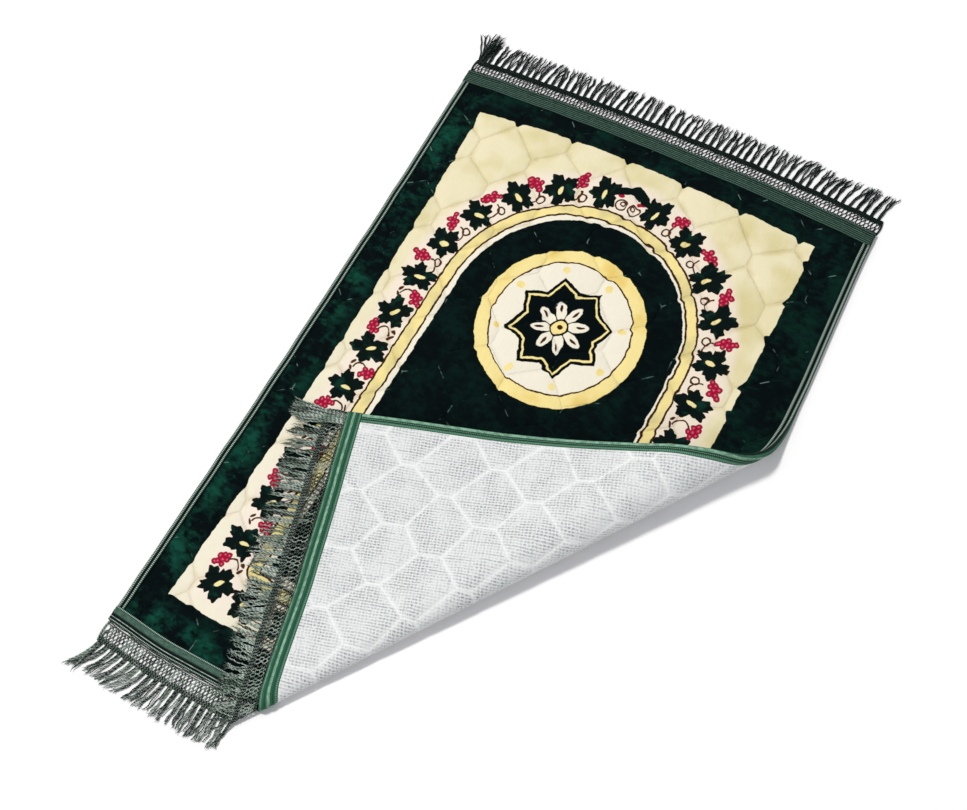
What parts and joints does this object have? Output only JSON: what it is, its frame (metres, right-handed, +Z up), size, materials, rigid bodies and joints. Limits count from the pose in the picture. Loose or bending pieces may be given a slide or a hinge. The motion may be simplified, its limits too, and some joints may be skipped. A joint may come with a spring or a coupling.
{
  "type": "prayer rug",
  "caption": "Padded velvet prayer rug with a quilted face, bound edges and fringed ends, lying flat with one corner folded over to show its white backing",
  "frame": {"origin": "the middle of the flat rug's body, on the surface that it lies on", "axes": "+X across the rug's width, +Y along its length towards the arch, +Z up"},
  "size_m": [0.7415, 1.1858, 0.0771],
  "materials": {
    "velvet": "matte",
    "binding": "satin",
    "heading": "satin",
    "yarn": "matte"
  },
  "bodies": {
    "root": {"rug_pad": "velvet", "binding_left": "binding", "binding_right": "binding", "heading_bottom": "heading", "heading_top": "heading", "fringe_bottom": "yarn", "fringe_top": "yarn"}
  },
  "joints": []
}
